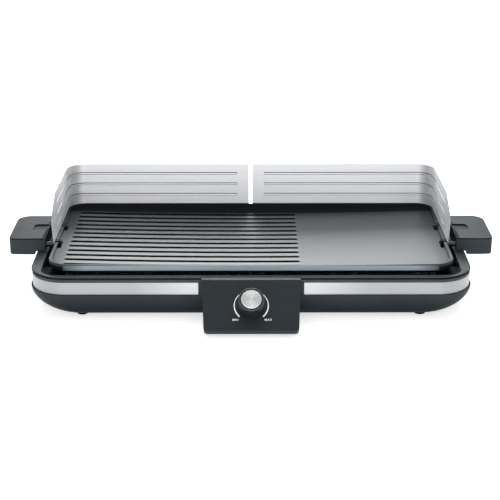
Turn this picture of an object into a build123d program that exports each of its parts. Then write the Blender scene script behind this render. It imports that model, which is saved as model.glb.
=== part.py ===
from build123d import *
import os
from math import cos, radians, sin, tan

# Table-top electric grill: a shallow plastic base with a steel trim band, a sloping control box
# on its front, a lift-off cast plate with two handles, and a steel windshield in two halves.
# Millimetres. X runs along the width, Y from the control box to the back, Z up from the table.
# The origin lies on the table, under the middle of the whole grill.

os.makedirs("parts", exist_ok=True)

# Base
base_width = 606.4
base_depth = 314.0
base_height = 60.0
base_corner = 50.0
foot_height = 6.0
bowl_angles = (0, 18, 36, 54, 72, 90)
shell_wall = 2.6
floor_wall = 3.0
bowl_height = 31.3
bowl_side_inset = 40.0
bowl_front_inset = 15.0
bowl_bottom_corner = 36.0
bowl_fullness = 1.75
frame_slab = 2.7
frame_set_back = 7.6
frame_ledge = 2.2
frame_side = 14.9
frame_front = 16.5
frame_well_corner = 40.0
frame_skirt = 2.4
frame_skirt_depth = 9.0
frame_edge_radius = 1.2
band_recess = 3.0
band_thickness = 0.9
band_bevel = 0.3
band_end_strip = 4.8
window_width = 80.0
window_foot_gap = 10.0
window_head = 2.1
post_side_inset = 41.2
post_front_inset = 57.0
post_diameter = 12.0
post_length = 22.5
post_counterbore = 20.0
frame_screw_grip = 12.0
shelf_width = 22.0
shelf_thickness = 4.0
clearance = 0.3
seat_gap = 0.2
shaft_gap = 0.05

# Grill plate
plate_side_gap = 9.7
plate_front_gap = 10.0
plate_corner = 28.0
plate_drop = 1.5
plate_thickness = 13.5
plate_foot_height = 6.0
lip_side = 5.0
lip_back = 4.5
lip_front = 2.6
lip_slope = 12.0
lip_edge_radius = 1.0
pan_depth = 2.8
pan_sag = 4.6
front_lip_sag = 1.9
front_dip_inset = 28.6
undercut = 4.6
pan_corner = 24.0
slot_corner = 1.5
groove_pitch = 17.9
groove_width = 7.4
groove_depth = 3.4
groove_draft = 6.0
groove_length = 326.0
groove_side_margin = 20.6
groove_front_margin = 8.4
groove_back_margin = 30.0

# Handles
handle_gap = 12.9
handle_depth = 50.8
handle_length = 98.0
handle_rise = 8.0
handle_height = 25.0
handle_wall = 3.0
handle_corner = 19.5
handle_front_corner = 5.0
handle_edge_radius = 2.5
handle_bevel = 4.0
handle_bow = 1.5
handle_base_gap = 1.0
handle_frame_gap = 0.8
handle_slope = 2.8
recess_back = 12.0
recess_length = 31.0
recess_width = 22.0
recess_depth = 2.2
recess_corner = 6.0
bolt_end_distance = 11.0
bolt_drop = 4.4
spacer_diameter = 7.0
bolt_diameter = 5.0
bolt_in_plate = 3.6
bolt_in_handle = 10.0

# Windshield
shield_height = 63.8
shield_thickness = 1.0
shield_inset = 1.3
shield_spread = 2.4
shield_gap = 5.5
shield_front = -51.0
shield_nose = 7.0
shield_nose_radius = 2.0
shield_notch_length = 46.0
shield_notch_drop = 24.0
bead_width = 4.0
bead_depth = 1.2
bead_pitch = 16.7
bead_root = 0.5
bead_top_margin = 31.4
bead_start = 22.0
bead_end = -6.0
tongue_width = 10.0
tongue_drop = 7.0
tongue_inset = 7.9
tongue_set_back = 15.0
rear_tongue_y = 30.0
slot_width = 5.0
slot_play = 0.5
front_slot_length = 27.6
rear_slot_length = 19.5
tab_width = 10.0
tab_drop = 6.0
outer_tab_inset = 49.6
centre_tab_gap = 6.25

# Control box
box_width = 133.2
box_draft = 3.7
box_wall = 2.5
box_clear = 5.0
face_tilt = 50.0
box_corner = 7.0
box_nose_radius = 4.0
box_roof = 13.6
box_boss_inset = 10.4
box_boss_rise = 4.6
box_boss_diameter = 8.0
box_boss_length = 12.0
cover_thickness = 2.5
cover_front_gap = 6.0
cover_side_gap = 0.7
cover_back = 10.5
cover_corner = 10.0
cover_post_inset = 15.0
cover_post_y = 28.0

# Dial and thermostat
dial_distance = 38.8
knob_diameter = 35.0
knob_height = 17.5
knob_taper = 0.6
knob_gap = 0.8
knob_edge_radius = 1.5
knob_hollow_diameter = 24.0
knob_hollow_depth = 8.0
knob_cap_diameter = 27.2
knob_cap_thickness = 1.8
cap_seat = 1.2
cap_bevel = 0.5
spindle_diameter = 6.0
spindle_grip = 13.0
spindle_tail = 6.0
bush_diameter = 10.0
bush_height = 3.5
nut_across_flats = 14.0
nut_thickness = 2.5
thermostat_width = 32.0
thermostat_length = 22.0
thermostat_thickness = 17.0
thermostat_corner = 2.0

# Heating
tray_side_inset = 63.2
tray_front_inset = 43.0
tray_draw_in = 10.0
reflector_depth = 17.5
reflector_sheet = 0.8
reflector_corner = 30.0
reflector_flange = 6.0
tube_diameter = 6.6
tube_gap = 12.5
tube_bend = 20.0
tube_lift = 22.0
loop_side_inset = 25.0
loop_front_inset = 29.0
dip_x = 75.0
dip_depth = 105.0
cold_end = 3.0
pin_length = 5.0
pin_diameter = 2.4
terminal_x = 22.0
clip_width = 8.0
clip_sheet = 1.2
clip_foot = 9.0
tower_diameter = 12.0
tower_x = 170.0
tower_y = 58.0
screw_diameter = 3.5
screw_head_diameter = 7.0
screw_head_height = 2.2
screw_length = 12.0
capillary_diameter = 2.0
capillary_bend = 12.0
bulb_diameter = 5.0
bulb_lift = 3.0
bulb_set_back = 25.0
bulb_length = 50.0
block_width = 34.0
block_depth = 14.0
block_height = 12.0
block_back_inset = 39.0
block_pitch = 10.0
block_bevel = 1.0
well_diameter = 5.0
well_depth = 8.0

# Feet and cord inlet
foot_diameter = 16.0
foot_side_inset = 31.2
foot_front_inset = 14.0
foot_stem_diameter = 6.0
foot_edge_radius = 1.2
gland_diameter = 16.0
gland_bore = 7.0
gland_flange = 2.5
gland_reach = 8.0
gland_neck_diameter = 10.0
gland_pad = 12.0
gland_height = 22.0

# Places of the base that follow from the sizes above
split_height = foot_height + bowl_height
frame_seat = base_height - frame_slab - frame_ledge
band_height = frame_seat - split_height
face_drop = base_height - box_clear
nose_set_back = box_nose_radius / tan(radians(90 - face_tilt) / 2) - box_nose_radius
box_reach = face_drop * tan(radians(face_tilt)) - nose_set_back
body_y = (box_reach - gland_reach) / 2
front_y = body_y - base_depth / 2
back_y = body_y + base_depth / 2
wall_inset = band_recess + shell_wall
foot_x = base_width / 2 - bowl_side_inset - foot_side_inset
foot_y = base_depth / 2 - bowl_front_inset - foot_front_inset
window_bottom = foot_height + window_foot_gap
window_top = frame_seat - window_head

# Places of the grill plate and its handles
plate_half_width = base_width / 2 - frame_side - plate_side_gap
plate_width = 2 * plate_half_width
plate_depth = base_depth - 2 * (frame_front + plate_front_gap)
plate_back_y = body_y + plate_depth / 2
plate_front_y = body_y - plate_depth / 2
plate_underside = base_height - plate_drop
lip_top = plate_underside + plate_thickness
pan_edge_height = lip_top - pan_depth
shelf_top = plate_underside - plate_foot_height
post_x = base_width / 2 - post_side_inset
post_y = base_depth / 2 - post_front_inset
post_split = shelf_top - post_length
shelf_inner = post_x - post_diameter / 2
shelf_length = base_width / 2 - frame_side + frame_skirt / 2 - shelf_inner
front_dip_half = plate_half_width - front_dip_inset
groove_left = groove_side_margin - plate_half_width
groove_right = groove_left + groove_length
groove_field_depth = plate_depth - groove_front_margin - groove_back_margin
groove_count = 1 + int((groove_field_depth - groove_width) / groove_pitch)
groove_field_y = (
    plate_front_y + groove_front_margin + groove_width / 2 + (groove_count - 1) * groove_pitch / 2
)
handle_inner = plate_half_width + handle_gap
handle_reach = handle_inner + handle_depth
handle_top = lip_top + handle_rise
handle_bottom = handle_top - handle_height
handle_step = base_width / 2 + handle_base_gap
handle_step_height = base_height + handle_frame_gap
handle_foot = handle_step + handle_slope
bolt_spacing = handle_length - 2 * bolt_end_distance
bolt_height = lip_top - bolt_drop

# Places of the windshield
shield_top = lip_top + shield_height
shield_rear_y = plate_back_y - shield_inset
shield_nose_y = body_y + shield_front - shield_nose
shield_run = shield_rear_y - shield_nose_y
wing_normal = Vector(shield_run, shield_spread, 0).normalized()
bead_middle = shield_top - bead_top_margin
tongue_x = plate_half_width - tongue_inset
front_tongue_y = shield_front + tongue_set_back
front_slot_y = front_tongue_y + slot_play + (tongue_width - front_slot_length) / 2
rear_slot_y = rear_tongue_y + slot_play + (tongue_width - rear_slot_length) / 2
tab_y = shield_rear_y - shield_thickness / 2
back_tab_x = plate_half_width - outer_tab_inset
centre_tab_x = shield_gap / 2 + centre_tab_gap

# Places of the control box and the dial
box_foot_width = box_width - 2 * box_draft
box_boss_x = box_width / 2 - box_boss_inset
box_boss_height = split_height + box_boss_rise
cover_reach = box_reach - cover_front_gap
cover_width = box_foot_width - 2 * (box_wall + cover_side_gap)
cover_post_x = box_foot_width / 2 - cover_post_inset
nose_rise = box_nose_radius * (1 + sin(radians(face_tilt)))
face_length = (face_drop - nose_rise) / cos(radians(face_tilt)) + box_nose_radius
face_normal = (0, -cos(radians(face_tilt)), sin(radians(face_tilt)))
face_down = (0, -sin(radians(face_tilt)), -cos(radians(face_tilt)))
dial_centre = (0, front_y + face_down[1] * dial_distance, base_height + face_down[2] * dial_distance)
dial_plane = Plane(origin=dial_centre, x_dir=(1, 0, 0), z_dir=face_normal)
dial_axis = Axis(dial_centre, face_normal)
face_plane = Plane(origin=(0, front_y, base_height), x_dir=(1, 0, 0), z_dir=face_normal)
tilt_sine = sin(radians(face_tilt))
tilt_cosine = cos(radians(face_tilt))
hollow_top_y = box_wall * (1 - tilt_sine) / tilt_cosine
hollow_nose_drop = (box_wall + (box_reach - box_wall) * tilt_cosine) / tilt_sine

# Places of the heating pieces
tube_height = plate_underside - tube_gap
reflector_floor = tube_height - tube_lift
reflector_top = reflector_floor + reflector_depth
clip_floor = reflector_floor + reflector_sheet
tray_half_width = base_width / 2 - tray_side_inset
tray_half_depth = base_depth / 2 - tray_front_inset
loop_x = tray_half_width - loop_side_inset
loop_y = tray_half_depth - loop_front_inset
dip_y = loop_y - dip_depth
front_clip_x = (loop_x + dip_x) / 2
bulb_height = tube_height + bulb_lift
bulb_front = -loop_y - bulb_set_back
block_y = base_depth / 2 - block_back_inset


def body_outline(height, side_inset, front_inset, corner):
    """Rounded rectangle round the middle of the base, set in from its widest outline."""
    with BuildSketch(Plane.XY.offset(height)) as outline:
        with Locations((0, body_y)):
            RectangleRounded(base_width - 2 * side_inset, base_depth - 2 * front_inset, corner)
    return outline.sketch


def plate_outline(height, side_inset, front_inset, back_inset, corner):
    """Outline of the grill plate, set in by its own amount at the sides, front and back."""
    with BuildSketch(Plane.XY.offset(height)) as outline:
        with Locations((0, body_y + (front_inset - back_inset) / 2)):
            RectangleRounded(
                plate_width - 2 * side_inset, plate_depth - front_inset - back_inset, corner
            )
    return outline.sketch


def bowl_sections(top, bottom, wall):
    """Outlines of the bowl from its rim down to its flat underside, on a full curve."""
    sections = []
    for angle in bowl_angles:
        drop = sin(radians(angle)) ** (2 / bowl_fullness)
        draw_in = 1 - cos(radians(angle)) ** (2 / bowl_fullness)
        corner = base_corner + (bowl_bottom_corner - base_corner) * draw_in - wall
        side_inset = bowl_side_inset * draw_in + wall
        front_inset = bowl_front_inset * draw_in + wall
        sections.append(body_outline(top - (top - bottom) * drop, side_inset, front_inset, corner))
    return sections


def surface_arc(edge_height, middle_height):
    """Shallow arc across the width of the plate, low in the middle."""
    return ThreePointArc(
        (-plate_half_width, edge_height), (0, middle_height), (plate_half_width, edge_height)
    )


def tray_outline(height, growth):
    """Outline of the reflector tray, grown or drawn in evenly."""
    with BuildSketch(Plane.XY.offset(height)) as outline:
        with Locations((0, body_y)):
            RectangleRounded(
                2 * (tray_half_width + growth), 2 * (tray_half_depth + growth), reflector_corner + growth
            )
    return outline.sketch


def face_outline(inset):
    """Outline of the control face in its own plane, with its two lower corners rounded."""
    with BuildSketch(face_plane) as outline:
        with BuildLine():
            Polyline(
                (inset - box_width / 2, box_roof),
                (box_width / 2 - inset, box_roof),
                (box_width / 2 - inset, 0),
                (box_foot_width / 2 - inset, inset - face_length),
                (inset - box_foot_width / 2, inset - face_length),
                (inset - box_width / 2, 0),
                close=True,
            )
        make_face()
        fillet(outline.vertices().group_by(Axis.Y)[0], radius=box_corner - inset)
    return outline.sketch


def finish(part, name):
    """Label one piece and write it out."""
    part.label = name
    export_step(part, f"parts/{name}.step")


# Room taken by the base, with the fit, that shapes the back of the control box
with BuildPart() as bowl_room:
    loft(bowl_sections(split_height + clearance, foot_height - clearance, -clearance))
    extrude(body_outline(split_height, 0, 0, base_corner), amount=band_height)

# Lower shell: a bowl with a shelf and a recessed wall that the trim band wraps
with BuildPart() as bowl_outside:
    loft(bowl_sections(split_height, foot_height, 0))
with BuildPart() as bowl_inside:
    loft(bowl_sections(split_height - shell_wall, foot_height + floor_wall, shell_wall))
with BuildPart() as shell_posts:
    with BuildSketch(Plane.XY.offset(foot_height)):
        with Locations((0, body_y)):
            with GridLocations(2 * post_x, 2 * post_y, 2, 2):
                Circle(post_diameter / 2)
    extrude(amount=post_split - foot_height)
    with BuildSketch(Plane.XY.offset(foot_height)):
        with Locations((0, body_y)):
            with GridLocations(tower_x, 2 * tower_y, 3, 2):
                Circle(tower_diameter / 2)
    extrude(amount=reflector_floor - foot_height)
    with BuildSketch(Plane.XZ.offset(-(back_y - gland_pad))):
        with Locations((0, gland_height)):
            Circle(gland_diameter / 2 + shell_wall)
    extrude(amount=-gland_pad)
with BuildPart() as base_shell:
    add(bowl_outside.part)
    extrude(
        body_outline(split_height, band_recess, band_recess, base_corner - band_recess),
        amount=band_height,
    )
    with BuildSketch(Plane.XY.offset(split_height)):
        with Locations((0, front_y + wall_inset / 2)):
            Rectangle(box_width + 2 * band_end_strip, wall_inset)
    extrude(amount=band_height)
    add(bowl_inside.part, mode=Mode.SUBTRACT)
    inner_outline = body_outline(
        split_height - shell_wall, wall_inset, wall_inset, base_corner - wall_inset
    )
    extrude(inner_outline, amount=base_height, mode=Mode.SUBTRACT)
    add(shell_posts.part)
    with BuildSketch(Plane.XZ.offset(-front_y)):
        with Locations((0, (window_bottom + window_top) / 2)):
            Rectangle(window_width, window_top - window_bottom)
    extrude(amount=-(wall_inset + bowl_front_inset), mode=Mode.SUBTRACT)
    with BuildSketch(Plane.XZ.offset(-back_y)):
        with Locations((0, gland_height)):
            Circle(gland_neck_diameter / 2)
    extrude(amount=2 * gland_pad, mode=Mode.SUBTRACT)
    with BuildSketch(Plane.XZ.offset(-front_y)):
        with Locations((-box_boss_x, box_boss_height), (box_boss_x, box_boss_height)):
            Circle(screw_diameter / 2)
    extrude(amount=-wall_inset, mode=Mode.SUBTRACT)
    with BuildSketch(Plane.XY):
        with Locations((0, body_y)):
            with GridLocations(2 * foot_x, 2 * foot_y, 2, 2):
                Circle(foot_stem_diameter / 2)
    extrude(amount=foot_height + 2 * floor_wall, mode=Mode.SUBTRACT)
    with BuildSketch(Plane.XY.offset(reflector_floor)):
        with Locations((0, body_y)):
            with GridLocations(tower_x, 2 * tower_y, 3, 2):
                Circle(screw_diameter / 2)
    extrude(amount=-screw_length, mode=Mode.SUBTRACT)
    with BuildSketch(Plane.XY):
        with Locations((0, body_y)):
            with GridLocations(2 * post_x, 2 * post_y, 2, 2):
                Circle(screw_head_diameter / 2 + clearance)
    extrude(amount=post_counterbore, mode=Mode.SUBTRACT)
    with BuildSketch(Plane.XY):
        with Locations((0, body_y)):
            with GridLocations(2 * post_x, 2 * post_y, 2, 2):
                Circle(screw_diameter / 2)
    extrude(amount=post_split, mode=Mode.SUBTRACT)
finish(base_shell.part, "base_shell")

# Ring round the plate: a flat top on a ledge, a skirt, and four shelves the plate stands on
with BuildPart() as base_frame:
    with BuildSketch(Plane.XY.offset(base_height - frame_slab)):
        with Locations((0, body_y + frame_set_back / 2)):
            RectangleRounded(base_width, base_depth - frame_set_back, base_corner)
    extrude(amount=frame_slab)
    fillet(base_frame.faces().sort_by(Axis.Z)[-1].edges(), radius=frame_edge_radius)
    ledge_inset = band_recess - band_thickness
    extrude(
        body_outline(frame_seat, ledge_inset, ledge_inset, base_corner - ledge_inset),
        amount=frame_ledge,
    )
    skirt_outline = body_outline(
        frame_seat,
        frame_side - frame_skirt,
        frame_front - frame_skirt,
        frame_well_corner + frame_skirt,
    )
    extrude(skirt_outline, amount=-frame_skirt_depth)
    well_outline = body_outline(base_height, frame_side, frame_front, frame_well_corner)
    extrude(well_outline, amount=-base_height, mode=Mode.SUBTRACT)
    with BuildSketch(Plane.XY.offset(window_top)):
        with Locations((0, front_y + frame_front)):
            Rectangle(window_width, 2 * frame_front)
    extrude(amount=-frame_skirt_depth, mode=Mode.SUBTRACT)
    with BuildSketch(Plane.XY.offset(shelf_top)):
        for side in (-1, 1):
            with Locations((side * (shelf_inner + shelf_length / 2), body_y)):
                with GridLocations(0, 2 * post_y, 1, 2):
                    Rectangle(shelf_length, shelf_width)
    extrude(amount=-shelf_thickness)
    with BuildSketch(Plane.XY.offset(shelf_top)):
        with Locations((0, body_y)):
            with GridLocations(2 * post_x, 2 * post_y, 2, 2):
                Circle(post_diameter / 2)
    extrude(amount=-(shelf_top - post_split))
    with BuildSketch(Plane.XY.offset(post_split)):
        with Locations((0, body_y)):
            with GridLocations(2 * post_x, 2 * post_y, 2, 2):
                Circle(screw_diameter / 2)
    extrude(amount=frame_screw_grip, mode=Mode.SUBTRACT)
    with BuildSketch(Plane.XY.offset(frame_seat)):
        with Locations((0, front_y + (box_roof + clearance) / 2)):
            Rectangle(box_width + 2 * clearance, box_roof + clearance)
    extrude(amount=base_height - frame_seat, mode=Mode.SUBTRACT)
finish(base_frame.part, "base_frame")

# Steel trim band in two lengths that meet at the back
with BuildPart() as whole_band:
    band_outline = body_outline(
        split_height,
        band_recess - band_thickness,
        band_recess - band_thickness,
        base_corner - band_recess + band_thickness,
    )
    extrude(band_outline, amount=band_height)
    band_faces = whole_band.faces().sort_by(Axis.Z)
    chamfer(band_faces[0].edges() + band_faces[-1].edges(), length=band_bevel)
    wall_outline = body_outline(split_height, band_recess, band_recess, base_corner - band_recess)
    extrude(wall_outline, amount=band_height, mode=Mode.SUBTRACT)
    with BuildSketch(Plane.XY.offset(split_height)):
        with Locations((0, front_y)):
            Rectangle(box_width + 2 * band_end_strip, 2 * wall_inset)
        with Locations((0, back_y)):
            Rectangle(seat_gap, 2 * wall_inset)
    extrude(amount=band_height, mode=Mode.SUBTRACT)
for side, side_name in ((-1, "left"), (1, "right")):
    with BuildPart() as trim_band:
        add(whole_band.part)
        with BuildSketch(Plane.XY.offset(split_height)):
            with Locations((-side * base_width / 2, body_y)):
                Rectangle(base_width, 2 * base_depth)
        extrude(amount=band_height, mode=Mode.SUBTRACT)
    finish(trim_band.part, f"trim_band_{side_name}")

# Rubber feet, pressed into the floor by a short stem
for side, side_name in ((-1, "left"), (1, "right")):
    for end, end_name in ((-1, "front"), (1, "rear")):
        with BuildPart() as foot:
            with BuildSketch():
                with Locations((side * foot_x, body_y + end * foot_y)):
                    Circle(foot_diameter / 2)
            extrude(amount=foot_height)
            fillet(foot.faces().sort_by(Axis.Z)[0].edges(), radius=foot_edge_radius)
            with BuildSketch(Plane.XY.offset(foot_height)):
                with Locations((side * foot_x, body_y + end * foot_y)):
                    Circle(foot_stem_diameter / 2)
            extrude(amount=floor_wall)
        finish(foot.part, f"foot_{end_name}_{side_name}")

# Screws from below that hold the ring to the shell
with BuildPart() as frame_screws:
    with BuildSketch(Plane.XY.offset(post_counterbore)):
        with Locations((0, body_y)):
            with GridLocations(2 * post_x, 2 * post_y, 2, 2):
                Circle(screw_head_diameter / 2)
    extrude(amount=-screw_head_height)
    with BuildSketch(Plane.XY.offset(post_counterbore)):
        with Locations((0, body_y)):
            with GridLocations(2 * post_x, 2 * post_y, 2, 2):
                Circle(screw_diameter / 2)
    extrude(amount=post_split + frame_screw_grip - post_counterbore)
finish(frame_screws.part, "frame_screws")

# Heat reflector: a pressed tray with sloping walls and a flat rim
with BuildPart() as heat_reflector:
    loft([tray_outline(reflector_floor, -tray_draw_in), tray_outline(reflector_top, 0)])
    extrude(tray_outline(reflector_top, reflector_flange), amount=-reflector_sheet)
    loft(
        [
            tray_outline(reflector_floor + reflector_sheet, -tray_draw_in - reflector_sheet),
            tray_outline(reflector_top, -reflector_sheet),
        ],
        mode=Mode.SUBTRACT,
    )
    with BuildSketch(Plane.XY.offset(reflector_floor)):
        with Locations((0, body_y)):
            with GridLocations(tower_x, 2 * tower_y, 3, 2):
                Circle(screw_diameter / 2)
    extrude(amount=reflector_sheet, mode=Mode.SUBTRACT)
finish(heat_reflector.part, "heat_reflector")

# Screws that hold the reflector on its towers
with BuildPart() as reflector_screws:
    with BuildSketch(Plane.XY.offset(reflector_floor + reflector_sheet)):
        with Locations((0, body_y)):
            with GridLocations(tower_x, 2 * tower_y, 3, 2):
                Circle(screw_head_diameter / 2)
    extrude(amount=screw_head_height)
    with BuildSketch(Plane.XY.offset(reflector_floor + reflector_sheet)):
        with Locations((0, body_y)):
            with GridLocations(tower_x, 2 * tower_y, 3, 2):
                Circle(screw_diameter / 2)
    extrude(amount=-(screw_length - screw_head_height))
finish(reflector_screws.part, "reflector_screws")

# Tubular heating element, bent in one plane, with both cold ends in the control box
with BuildPart() as heating_element:
    with BuildLine(Plane.XY.offset(tube_height)) as tube_path:
        FilletPolyline(
            (-terminal_x, front_y - cold_end),
            (-terminal_x, body_y - loop_y),
            (-loop_x, body_y - loop_y),
            (-loop_x, body_y + loop_y),
            (-dip_x, body_y + loop_y),
            (-dip_x, body_y + dip_y),
            (dip_x, body_y + dip_y),
            (dip_x, body_y + loop_y),
            (loop_x, body_y + loop_y),
            (loop_x, body_y - loop_y),
            (terminal_x, body_y - loop_y),
            (terminal_x, front_y - cold_end),
            radius=tube_bend,
        )
    with BuildSketch(Plane.XZ.offset(cold_end - front_y)):
        with Locations((-terminal_x, tube_height)):
            Circle(tube_diameter / 2)
    sweep(path=tube_path.line)
    with BuildSketch(Plane.XZ.offset(cold_end - front_y)):
        with Locations((-terminal_x, tube_height), (terminal_x, tube_height)):
            Circle(pin_diameter / 2)
    extrude(amount=pin_length)
finish(heating_element.part, "heating_element")

# One sheet clip, standing on the reflector, that closes round the tube
with BuildPart() as one_clip:
    with BuildSketch(Plane.XZ.offset(-clip_width / 2)):
        with Locations((0, tube_height)):
            Circle(tube_diameter / 2 + clip_sheet)
        with Locations((0, (tube_height + clip_floor) / 2)):
            Rectangle(clip_sheet, tube_height - clip_floor)
        with Locations((clip_foot / 2, clip_floor + clip_sheet / 2)):
            Rectangle(clip_foot, clip_sheet)
        with Locations((0, tube_height)):
            Circle(tube_diameter / 2, mode=Mode.SUBTRACT)
    extrude(amount=clip_width)
with BuildPart() as element_clips:
    with Locations((-loop_x, body_y, 0), (loop_x, body_y, 0)):
        add(one_clip.part)
    with Locations(
        Location((-front_clip_x, body_y - loop_y, 0), (0, 0, 90)),
        Location((front_clip_x, body_y - loop_y, 0), (0, 0, 90)),
        Location((-front_clip_x, body_y + loop_y, 0), (0, 0, 90)),
        Location((front_clip_x, body_y + loop_y, 0), (0, 0, 90)),
        Location((0, body_y + dip_y, 0), (0, 0, 90)),
    ):
        add(one_clip.part)
finish(element_clips.part, "element_clips")

# Control box: a sloping face with a rounded nose, open behind and below
with BuildPart() as box_solid:
    with BuildSketch(Plane.YZ.offset(-box_width / 2)) as box_profile:
        with BuildLine():
            Polyline(
                (front_y + box_roof, base_height),
                (front_y, base_height),
                (front_y - face_drop * tan(radians(face_tilt)), box_clear),
                (front_y + box_roof, box_clear),
                close=True,
            )
        make_face()
        fillet(box_profile.vertices().sort_by(Axis.X)[0], radius=box_nose_radius)
    extrude(amount=box_width)
    extrude(face_outline(0), amount=2 * base_height, both=True, mode=Mode.INTERSECT)
with BuildPart() as box_hollow:
    with BuildSketch(Plane.YZ.offset(-box_width / 2)):
        with BuildLine():
            Polyline(
                (front_y + 2 * box_roof, base_height - box_wall),
                (front_y + hollow_top_y, base_height - box_wall),
                (front_y - box_reach + box_wall, base_height - hollow_nose_drop),
                (front_y - box_reach + box_wall, 0),
                (front_y + 2 * box_roof, 0),
                close=True,
            )
        make_face()
    extrude(amount=box_width)
    extrude(face_outline(box_wall), amount=2 * base_height, both=True, mode=Mode.INTERSECT)
with BuildPart() as box_fittings:
    with BuildSketch(Plane.XZ.offset(-front_y)):
        for side in (-1, 1):
            with Locations((side * box_boss_x, box_boss_height)):
                Circle(box_boss_diameter / 2)
            with Locations((side * (box_boss_x + box_boss_diameter / 2), box_boss_height)):
                Rectangle(box_boss_diameter, box_boss_diameter / 2)
    extrude(amount=box_boss_length)
    with BuildSketch(Plane.XY.offset(box_clear + cover_thickness)):
        with Locations((-cover_post_x, front_y - cover_post_y), (cover_post_x, front_y - cover_post_y)):
            Circle(box_boss_diameter / 2)
    extrude(amount=base_height)
    add(box_solid.part, mode=Mode.INTERSECT)
with BuildPart() as control_housing:
    add(box_solid.part)
    add(box_hollow.part, mode=Mode.SUBTRACT)
    add(box_fittings.part)
    add(bowl_room.part, mode=Mode.SUBTRACT)
    with BuildSketch(dial_plane):
        Circle(bush_diameter / 2 + shaft_gap)
    extrude(amount=-2 * box_wall, mode=Mode.SUBTRACT)
    with BuildSketch(Plane.XZ.offset(-front_y)):
        with Locations((-box_boss_x, box_boss_height), (box_boss_x, box_boss_height)):
            Circle(screw_diameter / 2)
    extrude(amount=screw_length - screw_head_height - wall_inset, mode=Mode.SUBTRACT)
    with BuildSketch(Plane.XY.offset(box_clear + cover_thickness)):
        with Locations((-cover_post_x, front_y - cover_post_y), (cover_post_x, front_y - cover_post_y)):
            Circle(screw_diameter / 2)
    extrude(amount=screw_length - screw_head_height - cover_thickness, mode=Mode.SUBTRACT)
finish(control_housing.part, "control_housing")

# Screws through the front wall into the control box
with BuildPart() as control_screws:
    with BuildSketch(Plane.XZ.offset(-(front_y + wall_inset))):
        with Locations((-box_boss_x, box_boss_height), (box_boss_x, box_boss_height)):
            Circle(screw_head_diameter / 2)
    extrude(amount=-screw_head_height)
    with BuildSketch(Plane.XZ.offset(-(front_y + wall_inset))):
        with Locations((-box_boss_x, box_boss_height), (box_boss_x, box_boss_height)):
            Circle(screw_diameter / 2)
    extrude(amount=screw_length - screw_head_height)
finish(control_screws.part, "control_screws")

# Cover that closes the control box from below, with its screws
with BuildPart() as control_cover:
    with BuildSketch(Plane.XY.offset(box_clear)) as cover_outline:
        with Locations((0, front_y + (cover_back - cover_reach) / 2)):
            Rectangle(cover_width, cover_reach + cover_back)
        fillet(cover_outline.vertices().sort_by(Axis.Y)[:2], radius=cover_corner)
        with Locations((-cover_post_x, front_y - cover_post_y), (cover_post_x, front_y - cover_post_y)):
            Circle(screw_diameter / 2, mode=Mode.SUBTRACT)
    extrude(amount=cover_thickness)
finish(control_cover.part, "control_cover")
with BuildPart() as cover_screws:
    with BuildSketch(Plane.XY.offset(box_clear)):
        with Locations((-cover_post_x, front_y - cover_post_y), (cover_post_x, front_y - cover_post_y)):
            Circle(screw_head_diameter / 2)
    extrude(amount=-screw_head_height)
    with BuildSketch(Plane.XY.offset(box_clear)):
        with Locations((-cover_post_x, front_y - cover_post_y), (cover_post_x, front_y - cover_post_y)):
            Circle(screw_diameter / 2)
    extrude(amount=screw_length - screw_head_height)
finish(cover_screws.part, "cover_screws")

# Thermostat behind the face, with its threaded bush, nut, spindle and knob
thermostat_top = -box_wall
with BuildPart() as thermostat:
    with BuildSketch(dial_plane.offset(thermostat_top)):
        RectangleRounded(thermostat_width, thermostat_length, thermostat_corner)
    extrude(amount=-thermostat_thickness)
    with BuildSketch(dial_plane.offset(thermostat_top)):
        Circle(bush_diameter / 2)
    extrude(amount=box_wall + bush_height)
    with BuildSketch(dial_plane.offset(bush_height)):
        Circle(spindle_diameter / 2 + shaft_gap)
    extrude(amount=-(bush_height + box_wall + spindle_tail + clearance), mode=Mode.SUBTRACT)
finish(thermostat.part, "thermostat")
with BuildPart() as bush_nut:
    with BuildSketch(dial_plane):
        RegularPolygon(nut_across_flats / 2, 6, major_radius=False)
        Circle(bush_diameter / 2, mode=Mode.SUBTRACT)
    extrude(amount=nut_thickness)
finish(bush_nut.part, "bush_nut")
with BuildPart() as knob_spindle:
    with BuildSketch(dial_plane.offset(thermostat_top - spindle_tail)):
        Circle(spindle_diameter / 2)
    extrude(amount=box_wall + spindle_tail + spindle_grip)
finish(knob_spindle.part, "knob_spindle")
with BuildPart() as knob:
    with BuildSketch(dial_plane.offset(knob_gap)):
        Circle(knob_diameter / 2)
    extrude(amount=knob_height, taper=knob_taper)
    fillet(knob.faces().sort_by(dial_axis)[-1].edges(), radius=knob_edge_radius)
    with BuildSketch(dial_plane.offset(knob_gap)):
        Circle(knob_hollow_diameter / 2)
    extrude(amount=knob_hollow_depth, mode=Mode.SUBTRACT)
    with BuildSketch(dial_plane.offset(knob_gap)):
        Circle(spindle_diameter / 2)
    extrude(amount=spindle_grip - knob_gap, mode=Mode.SUBTRACT)
    with BuildSketch(dial_plane.offset(knob_gap + knob_height)):
        Circle(knob_cap_diameter / 2)
    extrude(amount=-cap_seat, mode=Mode.SUBTRACT)
finish(knob.part, "knob")
with BuildPart() as knob_cap:
    with BuildSketch(dial_plane.offset(knob_gap + knob_height - cap_seat)):
        Circle(knob_cap_diameter / 2)
    extrude(amount=knob_cap_thickness)
    chamfer(knob_cap.faces().sort_by(dial_axis)[-1].edges(), length=cap_bevel)
finish(knob_cap.part, "knob_cap")

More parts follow.
